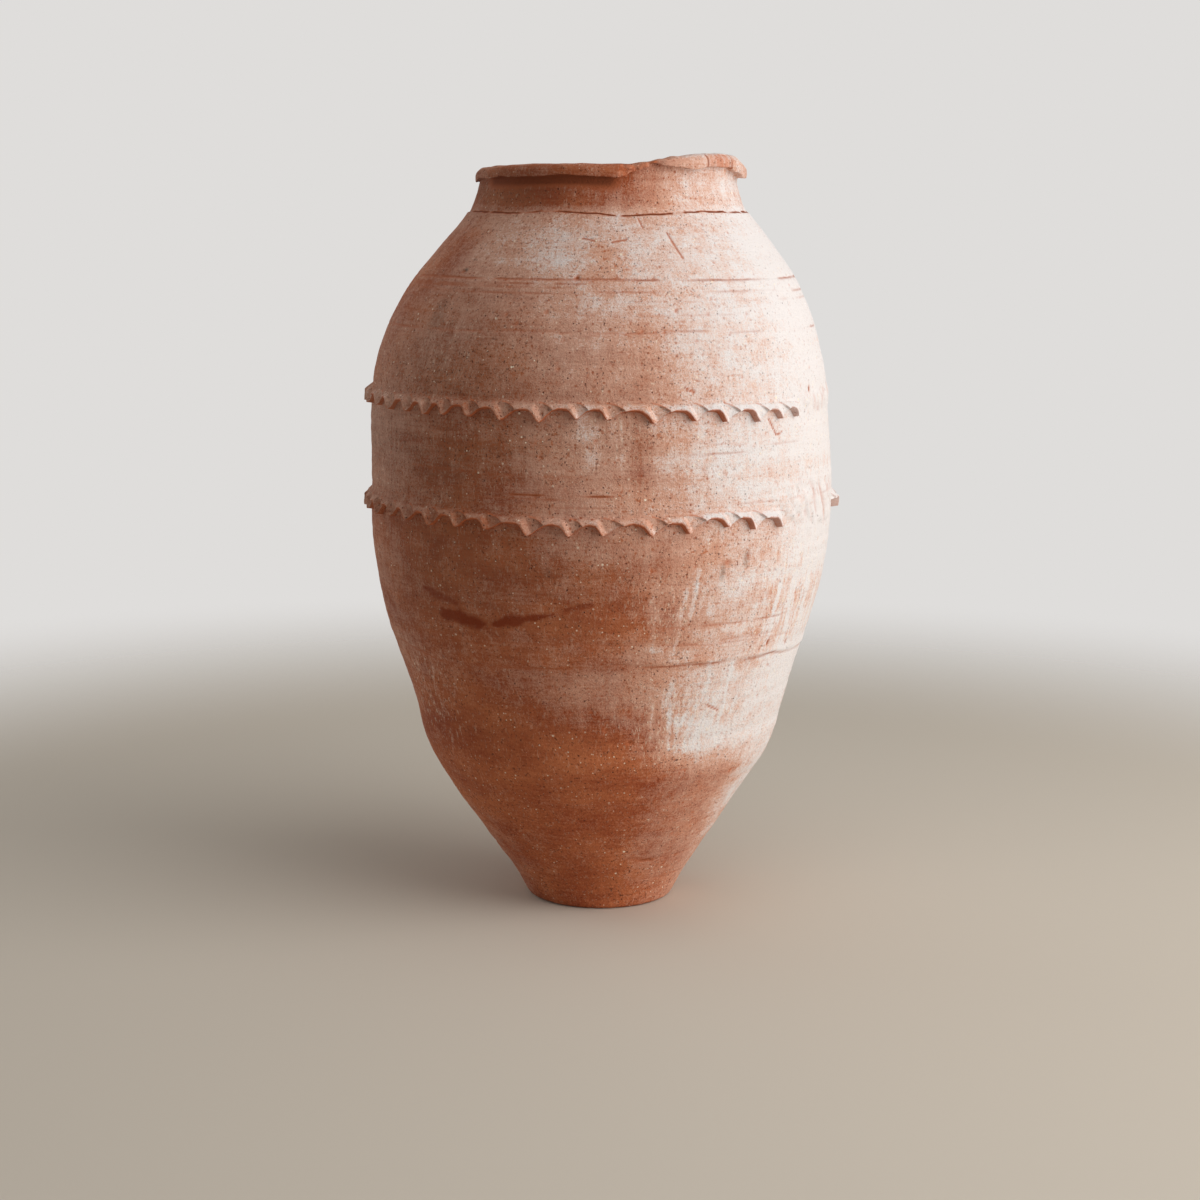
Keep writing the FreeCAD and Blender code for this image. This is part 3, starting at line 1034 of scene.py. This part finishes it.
def inner_rows(start, end):
    """Points and values down the inside between two heights."""
    azimuth, height = np.meshgrid(azimuths, even_rows(start, end, inner_row_height))
    points = placed(azimuth, inner_radius(azimuth, height), height)
    bloom = inner_bloom_share + uneven("inner_bloom", azimuth, height)
    return points, unseen_fields(azimuth.shape, bloom, inner_film_share)


def joined_rows(parts):
    """Rows of points and values, one part after the other."""
    points = np.concatenate([points for points, fields in parts])
    names = list(parts[0][1])
    return points, {name: np.concatenate([fields[name] for points, fields in parts]) for name in names}


def wall_ring(name, foot, top, inner_top):
    """A closed ring of wall between two joins."""
    points, fields = joined_rows([outer_rows(foot, top), inner_rows(inner_top, foot + bevel_rise)])
    return make_piece("jar_" + name, points, grid_faces(len(points), columns, True, True), fields)


for name, name_above in zip(ring_names[1:], ring_names[2:] + ["rim_lip"]):
    top = foot_heights[name_above]
    inner_top = top if name_above == "rim_lip" else top + bevel_rise
    finish_piece(wall_ring(name, foot_heights[name], top, inner_top), name, terracotta)


# %% Foot with its floor
def flat_rows(radii, height):
    """Rows of points on a level disc."""
    azimuth, radius = np.meshgrid(azimuths, radii)
    level = np.full(azimuth.shape, height)
    fields = unseen_fields(azimuth.shape, flat_bloom_share, flat_film_share)
    return placed(azimuth, radius, level), fields


def base_dish():
    """The first ring: a flat foot, a thick floor and the start of the wall."""
    foot_edge = outline_radii[0] - foot_rounding
    floor_edge = np.interp(floor_top + floor_corner, inner_heights, inner_radii)
    top = foot_heights["foot_coil"]
    parts = [
        flat_rows([0.2 * foot_edge, 0.6 * foot_edge], 0),
        outer_rows(0, top),
        inner_rows(top + bevel_rise, floor_top + floor_corner),
        flat_rows([floor_edge - 0.2 * floor_corner], floor_top + 0.35 * floor_corner),
        flat_rows([floor_edge - floor_corner, 0.5 * floor_edge], floor_top),
    ]
    points, fields = joined_rows(parts)
    faces = grid_faces(len(points), columns, False, True)
    under_middle = points.shape[0] * columns
    floor_middle = under_middle + 1
    last_row = (points.shape[0] - 1) * columns
    for column in range(columns):
        after = (column + 1) % columns
        faces.append([under_middle, after, column])
        faces.append([last_row + column, last_row + after, floor_middle])
    middles = np.array([[axis_lean(0), 0, 0], [axis_lean(floor_top), 0, floor_top]])
    points = np.concatenate([points.reshape(-1, 3), middles])
    fields = {name: np.append(values.ravel(), values[[0, -1], 0]) for name, values in fields.items()}
    return make_piece("jar_base_dish", points, faces, fields)


finish_piece(base_dish(), "base_dish", terracotta)

# %% [markdown]
# The lip was folded out over the neck and patted round, so its thickness and height change as it goes round.
# It stands highest on the right. A stretch at the front has broken away and shows raw clay. A section with a
# few points, changed with the azimuth, describes it all. Cutting its corners twice rounds it.

# %% Lip
lip_columns = 1400
lip_azimuths = np.arange(lip_columns) * full_turn / lip_columns
top_places = np.array([0, 9, 16, 23, 30, 43, 60, 69, 79, 90, 120, 150, 200, 235, 270, 293, 300, 327, 349])
lip_tops = np.array([
    673.6, 673.8, 675.4, 678.4, 680.6, 683.2, 684.2, 683.4, 680.5, 677, 676, 674, 672, 673, 671, 671.3, 672.3,
    673.6, 674,
]) * mm
fold_places = np.array([
    2.5, 6, 9, 16, 18.5, 23, 30, 38, 48, 61, 66, 80, 120, 150, 200, 235, 270, 293, 309, 327, 342, 349, 356,
])
lip_folds = np.array([
    661.2, 662.6, 666.4, 670.2, 674, 671.6, 670.4, 669.6, 671.8, 672, 667.6, 663, 666, 663, 660, 662, 658.6,
    661, 662.6, 663, 664.6, 663.6, 662.6,
]) * mm
nose_places = np.array([3, 7, 11, 17.5, 19.5, 24, 48, 61, 66, 90, 120, 200, 270, 293, 320, 350])
nose_reaches = np.array([6.8, 4.6, 2.2, 2.4, 4.8, 7.0, 7.2, 6.6, 8.2, 8.6, 7.2, 7.4, 3.8, 5.4, 6.6, 6.8]) * mm
# Middle, half span and fade of the stretches that are chipped and broken away
chipped_span = (53.5, 8.5, 1.2)
broken_span = (12, 9, 2.5)
chip_depth = 1.3 * mm
rim_cracks = [44.5, 62.5]
crack_half_span = 0.7
crack_depth = 1.2 * mm
throat_rise = 0.6 * mm
throat_rounding = 0.4 * mm
fold_rise = 0.2 * mm
crown_drop = 0.5 * mm
crown_outer_width = 3 * mm
crown_inner_width = 6 * mm
mouth_edge_width = 2 * mm
mouth_edge_drop = 0.6 * mm
mouth_edge_depth = 3 * mm
outside_start = 0.5 * mm
outside_fade = 1.2 * mm
worn_edge_depth = 2.5 * mm
worn_edge_fade = 2 * mm
throat_rows = 9


def corners_cut(sections, times):
    """Round a chain of section points by cutting its corners, with its two ends kept."""
    for time in range(times):
        before = sections[:-1]
        after = sections[1:]
        near = before * 0.75 + after * 0.25
        far = before * 0.25 + after * 0.75
        cut = np.stack([near, far], axis=1).reshape(-1, *sections.shape[1:])
        sections = np.concatenate([sections[:1], cut[1:-1], sections[-1:]])
    return sections


def lip_section(azimuth):
    """Radii and heights of the lip's section points, from its outer seat round to its bore."""
    level = azimuth * 0
    top = around(azimuth, top_places, lip_tops) + uneven("lip_top", azimuth)
    fold = around(azimuth, fold_places, lip_folds) + uneven("lip_fold", azimuth)
    reach = around(azimuth, nose_places, nose_reaches) + uneven("lip_reach", azimuth)
    reach = reach - chip_depth * on_span(azimuth, *chipped_span)
    for crack in rim_cracks:
        reach = reach - crack_depth * mound(turn_between(azimuth, crack) / crack_half_span)
    neck = outer_surface(azimuth[None, :], level[None, :] + lip_seat)[0][0]
    nose = neck + reach
    bore = level + bore_radius
    throat = np.maximum(fold, lip_seat) + throat_rise
    thick = top - fold
    section = [
        (neck, level + lip_seat),
        (neck, throat - throat_rounding),
        (neck + 0.3 * reach, throat),
        (nose - 0.3 * reach, fold + fold_rise),
        (nose - 0.08 * reach, fold),
        (nose, fold + 0.12 * thick),
        (nose, (fold + top) / 2),
        (nose - 0.1 * thick, top - 0.3 * thick),
        (nose - 0.4 * thick, top - crown_drop),
        (neck - crown_outer_width, top),
        (neck - crown_inner_width, top),
        (bore + mouth_edge_width, top - mouth_edge_drop),
        (bore, top - mouth_edge_depth),
        (bore, level + lip_seat),
    ]
    return np.array([radius for radius, height in section]), np.array([height for radius, height in section])


def rim_lip():
    """The folded lip, broken at the front and chipped on the right."""
    radii, heights = [corners_cut(part, 2) for part in lip_section(lip_azimuths)]
    azimuth = np.broadcast_to(lip_azimuths, radii.shape)
    outside = ease((radii - radii[0] - outside_start) / outside_fade)
    broken = on_span(azimuth, *broken_span)
    chipped = on_span(azimuth, *chipped_span)
    torn = uneven("lip_tears", azimuth, heights)
    radii = radii + torn * np.maximum(broken, 0.5 * chipped) * outside
    fields = finish_fields(azimuth, heights)
    crumbled = uneven("lip_crumbs", azimuth, heights)
    split = uneven("lip_splits", azimuth, heights)
    worn_edge = ease((heights - heights.max(axis=0) + worn_edge_depth) / worn_edge_fade) * outside
    bared = np.maximum(0.3 * broken + 0.6 * crumbled * broken, (0.35 + 0.5 * split) * chipped)
    fields["bared"] = np.clip(bared + 0.25 * worn_edge * (1 + crumbled), 0, 1) * outside
    fields["bloom"] = fields["bloom"] * (1 - 0.28 * outside) + 0.12 * outside + 0.2 * worn_edge
    # Painted shade in the two cracks of the rim
    cracks = [mound(turn_between(azimuth, crack) / (1.2 * crack_half_span)) for crack in rim_cracks]
    fields["dark"] = 0.5 * strongest(*cracks) * outside
    # Painted shade on the throat under the fold of the lip
    fields["dark"][:throat_rows] = 0.75 * on_span(lip_azimuths, *lip_shade_span)
    points = placed(azimuth, radii, heights)
    return make_piece("jar_rim_lip", points, grid_faces(len(points), lip_columns, True, True), fields)


finish_piece(rim_lip(), "rim_lip", terracotta)

# %% [markdown]
# The bands are strips of clay laid over the two widest joins. The potter smoothed the top edge onto the wall
# and pushed the lower edge up with a thumb, again and again. Each push left a hollow and squeezed out a sharp
# tooth on its left. A band is drawn as a section that changes with its place between one tooth and the next.

# %% Thumbed bands
band_columns = 1700
tooth_pitch = 31.5 * mm
tooth_seed = 201
bands = {
    # azimuths of the teeth seen at the front, kept stretch, places and sizes of its sag, shift of the seeds
    "upper_thumbed_band": (
        [-68, -60, -52, -45, -39, -31.8, -23.2, -14, -5.5, 1.5, 12, 22, 29.8, 39.2, 47.2, 53.8],
        (99, 56 + full_turn),
        np.array([10, 24, 48, 57, 120, 200, 300]),
        np.array([0, -1.5, -4.5, -5, -2, 1, 0]) * mm,
        0,
    ),
    "lower_thumbed_band": (
        [-67.5, -59.5, -52.2, -43.2, -35.2, -27, -16.8, -7.3, 0.2, 11.2, 20, 30, 37.2, 46.2],
        (80, 48.5 + full_turn),
        np.array([17, 28, 38, 46, 90, 200, 316, 340, 355]),
        np.array([1, 2.8, 0.8, -1.2, 1, 0.5, 0.8, 0, -0.8]) * mm,
        100,
    ),
}
# Places between one tooth's tip, at 0, and the next, at 1
phase_shares = np.array([0, 0.04, 0.12, 0.2, 0.3, 0.38, 0.48, 0.62, 0.76, 0.84, 0.91, 0.96, 1])
lower_edge_drops = np.array([15.4, 15.0, 13.2, 11.0, 8.4, 6.8, 5.7, 5.4, 6.0, 8.2, 11.6, 14.4, 15.4]) * mm
undercut_heights = np.array([1.0, 0.8, 0.7, 0.8, 1.0, 1.4, 1.9, 2.1, 2.3, 2.4, 2.2, 1.6, 1.0]) * mm
# The next shelf's edge steps down over the hollow, from its left end to where it meets the lower edge
step_shares = np.array([0, 0.1, 0.2, 0.3, 0.37, 0.42, 1])
step_drops = np.array([0.3, 0.8, 1.9, 3.6, 5.4, 9, 30]) * mm
step_width = 1.5 * mm
step_edge_width = 0.9 * mm
tip_drop = lower_edge_drops[0]
ridge_lean_share = 0.24
ridge_fall_share = 0.15
shelf_depth = 5.4 * mm
shelf_reach = 6.2 * mm
crest_height = 0.7 * mm
crest_reach = 0.7 * mm
hook_rise = 0.9 * mm
hollow_reach = 2.1 * mm
hollow_rim_rise = 2.2 * mm
band_rows_share = np.linspace(1, 0, 30)
band_burial = 1 * mm
band_end_taper = 3.5
band_top_drop = 0.6 * mm
band_foot_step = 0.1 * mm
band_top_reach = 0.3 * mm
band_top_rise = 0.8 * mm
band_back_rise = 2 * mm
lump_reach = 2 * mm
# Left and right end of the front stretch where the bands are barer and have painted shade at their foot,
# and how softly it ends
shade_ends = (-62, 55)
shade_fade = 30


def all_teeth(front_teeth, kept, radius, seed):
    """Azimuths of the teeth along a band: those seen at the front, and the rest at an even pitch."""
    random = np.random.default_rng(seed)
    pitch = math.degrees(tooth_pitch / radius)
    teeth = [azimuth + full_turn for azimuth in front_teeth]
    while teeth[0] > kept[0] - pitch:
        teeth.insert(0, teeth[0] - pitch * random.uniform(0.88, 1.12))
    teeth.append(teeth[-1] + pitch)
    return np.array(teeth)


def thumbed_surface(phase, down, edge_drop):
    """How far a band stands out between two teeth and below its top, and where it is hollowed and worn."""
    past_ridge = (phase + ridge_lean_share * (1 - down / tip_drop)) % 1
    slope_share = np.clip(down / shelf_depth, 0, 1)
    shelf = crest_reach + (shelf_reach - crest_reach) * slope_share ** 0.85
    shelf = shelf + hook_rise * slope_share * ease((past_ridge - 0.7) / 0.3)
    hollow = hollow_reach + hollow_rim_rise * np.clip(down / edge_drop, 0, 1) ** 3
    ridge = crest_reach + (shelf_reach + hook_rise - crest_reach) * slope_share
    hollow = hollow + np.clip(ridge - hollow, 0, None) * (1 - ease(past_ridge / ridge_fall_share))
    step = np.interp(phase, step_shares, step_drops)
    hollowed = np.where(phase < 0.5, ease((down - step) / step_width), past_ridge < 0.5)
    hollowed = hollowed * ease((down - crest_height) / crest_height)
    lower_edge = ease((down / edge_drop - 0.8) / 0.15)
    worn = np.where(phase < 0.5, mound((down - step) / step_edge_width), lower_edge)
    return shelf * (1 - hollowed) + hollow * hollowed, hollowed, worn


def band_fields(azimuth, heights, hollowed, worn):
    """The material's values on a band: bloom on its shelves, bared clay on its worn edges and its foot."""
    fields = finish_fields(azimuth, heights)
    turn = turn_between(azimuth[0], 0)
    left_end, right_end = shade_ends
    shade = ease((right_end - turn) / shade_fade) * (0.4 + 0.6 * ease((turn - left_end) / shade_fade))
    face = slice(3, len(band_rows_share) + 3)
    fields["bloom"][face] += 0.25 * (1 - hollowed) * ease(band_rows_share[:, None] * 2) + 0.15 * hollowed
    fields["bared"][face] = (0.45 + 0.25 * shade) * worn
    fields["bared"][:3] = 0.4 + 0.45 * shade
    # Painted shade where the band's foot meets the wall, strongest at the front
    fields["dark"][:2] = 0.12 * shade
    return fields


def band(node, front_teeth, kept, sag_places, sags, shift):
    """A thumbed band over its kept stretch, closed at both ends."""
    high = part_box(node)[1]
    wall_radius = np.interp(high.z, outline_heights, outline_radii)
    teeth = all_teeth(front_teeth, kept, wall_radius, tooth_seed + shift)
    azimuth = np.linspace(kept[0], kept[1], band_columns)
    level = azimuth * 0
    left = np.clip(np.searchsorted(teeth, azimuth, side="right") - 1, 0, len(teeth) - 2)
    phase = (azimuth - teeth[left]) / (teeth[left + 1] - teeth[left])
    tooth_sizes = np.random.default_rng(tooth_seed + 1 + shift).uniform(0.74, 1.06, len(teeth))
    size = tooth_sizes[left] * (1 - ease(phase)) + tooth_sizes[left + 1] * ease(phase)
    whole = 0.1 + 0.9 * ease(np.minimum(azimuth - kept[0], kept[1] - azimuth) / band_end_taper)
    top = high.z - band_top_drop + around(azimuth, sag_places, sags)
    top = top + uneven("band_top", azimuth, shift=shift)
    drop_size = (0.35 + 0.65 * size) * (0.5 + 0.5 * whole)
    drop = np.interp(phase, phase_shares, lower_edge_drops) * drop_size
    drop = drop + uneven("band_edge", azimuth, shift=shift)
    undercut = np.interp(phase, phase_shares, undercut_heights) * whole
    down = drop * band_rows_share[:, None]
    reaches, hollowed, worn = thumbed_surface(phase + 0 * down, down / drop_size, drop / drop_size)
    reaches = reaches * (0.25 + 0.75 * size) * whole
    buried = level - band_burial
    reaches = [buried, level, reaches[0] - band_foot_step, *reaches, band_top_reach * whole, level, buried]
    reaches = np.stack(reaches)
    foot = top - drop - undercut
    under = top - drop - 0.1 * undercut
    back = top + band_back_rise
    heights = np.stack([foot, foot, under, *(top - down), top + band_top_rise, back, back])
    grid = np.broadcast_to(azimuth, heights.shape)
    lumps = uneven("band_lumps", grid, heights, shift) * ease(reaches / lump_reach)
    points = placed(grid, outer_surface(grid, heights)[0] + reaches + lumps, heights)
    rows = len(points)
    faces = grid_faces(rows, band_columns, True, False)
    faces.append([row * band_columns for row in range(rows)])
    faces.append([row * band_columns + band_columns - 1 for row in reversed(range(rows))])
    return make_piece("jar_" + node, points, faces, band_fields(grid, heights, hollowed, worn))


for node, shape in bands.items():
    finish_piece(band(node, *shape), node, terracotta)

# %% [markdown]
# The jar stands on a plain pale floor that fades out at its edge, so there is no horizon behind it from any
# side. The world is pale to the camera, and a weaker, even light to the jar.

# %% Floor and world
floor_radius = 3.0
floor_solid_radius = 0.75
floor_fade_radius = 1.7
floor_sides = 96
floor_colour = linear("#CCC3B5")
floor_roughness = 0.95
background = linear("#DFDDDB")
ambient_colour = linear("#F4F1EE")
ambient_strength = 0.33


def show_mixed(tree, share, first, second, output):
    """Show two shaders, with a share of the second."""
    mixed = add_node(tree, "ShaderNodeMixShader", {0: share, 1: first.outputs[0], 2: second.outputs[0]})
    tree.links.new(mixed.outputs[0], tree.nodes[output].inputs["Surface"])


def plain_floor():
    """A level disc under the jar."""
    turns = np.arange(floor_sides) * 2 * math.pi / floor_sides
    rim = np.stack([floor_radius * np.cos(turns), floor_radius * np.sin(turns), turns * 0], axis=-1)
    mesh = bpy.data.meshes.new("studio_floor")
    mesh.from_pydata(rim.tolist(), [], [list(range(floor_sides))])
    floor = bpy.data.objects.new("studio_floor", mesh)
    bpy.context.scene.collection.objects.link(floor)
    return floor


def painted_floor():
    """Matt pale paint that fades into the background with the distance from the jar."""
    material = bpy.data.materials.new("matt_pale_paint")
    material.use_nodes = True
    tree = material.node_tree
    paint = tree.nodes["Principled BSDF"]
    paint.inputs["Base Color"].default_value = floor_colour
    paint.inputs["Roughness"].default_value = floor_roughness
    where = add_node(tree, "ShaderNodeTexCoord", {}).outputs["Object"]
    away = add_node(tree, "ShaderNodeVectorMath", {"operation": "LENGTH", "Vector": where})
    reach = {"From Min": floor_solid_radius, "From Max": floor_fade_radius, "To Min": 0.0, "To Max": 1.0}
    reach.update({"interpolation_type": "SMOOTHSTEP", "Value": away.outputs["Value"]})
    faded = add_node(tree, "ShaderNodeMapRange", reach)
    clear = add_node(tree, "ShaderNodeBsdfTransparent", {})
    show_mixed(tree, faded.outputs[0], paint, clear, "Material Output")
    return material


def pale_world():
    """Pale to the camera, and an even weaker light to everything else."""
    world = bpy.data.worlds.new("pale_studio")
    bpy.context.scene.world = world
    world.use_nodes = True
    tree = world.node_tree
    light = tree.nodes["Background"]
    light.inputs["Color"].default_value = ambient_colour
    light.inputs["Strength"].default_value = ambient_strength
    seen = add_node(tree, "ShaderNodeBackground", {"Color": background, "Strength": 1.0})
    rays = add_node(tree, "ShaderNodeLightPath", {}).outputs
    shown = worked_out(tree, "MAXIMUM", rays["Is Camera Ray"], rays["Is Glossy Ray"])
    shown = worked_out(tree, "MAXIMUM", shown, rays["Is Transmission Ray"])
    show_mixed(tree, shown, light, seen, "World Output")


plain_floor().data.materials.append(painted_floor())
pale_world()

# %% [markdown]
# The light is one large soft lamp at the front right, as a tall window gives. A weak one at the back left
# keeps the far edge from going dark, and one overhead lights the shoulder, as a pale ceiling does. All three
# are far larger than the jar, so no shadow on it is hard.

# %% Lamps
jar_middle = (cad_low + cad_high) / 2
lamps = [
    # name, azimuth, distance, height and side in metres, power in watts, colour
    ("window_light", 65, 2.4, 1.0, 2.4, 60, "#FFFCFA"),
    ("left_fill", -125, 2.6, 0.6, 1.6, 14, "#FFFFFF"),
    ("ceiling_light", 45, 1.2, 2.4, 2.0, 13, "#FFFFFF"),
]


def soft_lamp(name, azimuth, distance, height, side, power, colour):
    """A square lamp at an azimuth and a height, turned to the middle of the jar."""
    data = bpy.data.lights.new(name, "AREA")
    data.shape = "SQUARE"
    data.size = side
    data.energy = power
    data.color = linear(colour)[:3]
    lamp = bpy.data.objects.new(name, data)
    turn = math.radians(azimuth)
    lamp.location = (distance * math.sin(turn), -distance * math.cos(turn), height)
    lamp.rotation_euler = (jar_middle - lamp.location).to_track_quat("-Z", "Y").to_euler()
    bpy.context.scene.collection.objects.link(lamp)


for lamp in lamps:
    soft_lamp(*lamp)

# %% [markdown]
# The camera stands a little above the jar's shoulder and looks slightly down, about two metres away. Its tilt
# and its lens were found from how much each level line of the jar curves. It is rolled by a fraction of a
# degree, as the jar leans in the picture.

# %% Camera
camera_distance = 2.106
camera_height = 0.639
camera_tilt = 9.75
camera_roll = -0.35
camera_side = -4.3 * mm
lens_length = 69.0
sensor_width = 36.0

camera_data = bpy.data.cameras.new("camera")
camera_data.lens = lens_length
camera_data.sensor_width = sensor_width
camera = bpy.data.objects.new("camera", camera_data)
camera.location = (camera_side, -camera_distance, camera_height)
camera.rotation_euler = (math.radians(90 - camera_tilt), math.radians(camera_roll), 0)
bpy.context.scene.collection.objects.link(camera)
bpy.context.scene.camera = camera
bpy.context.scene.view_settings.view_transform = "Standard"
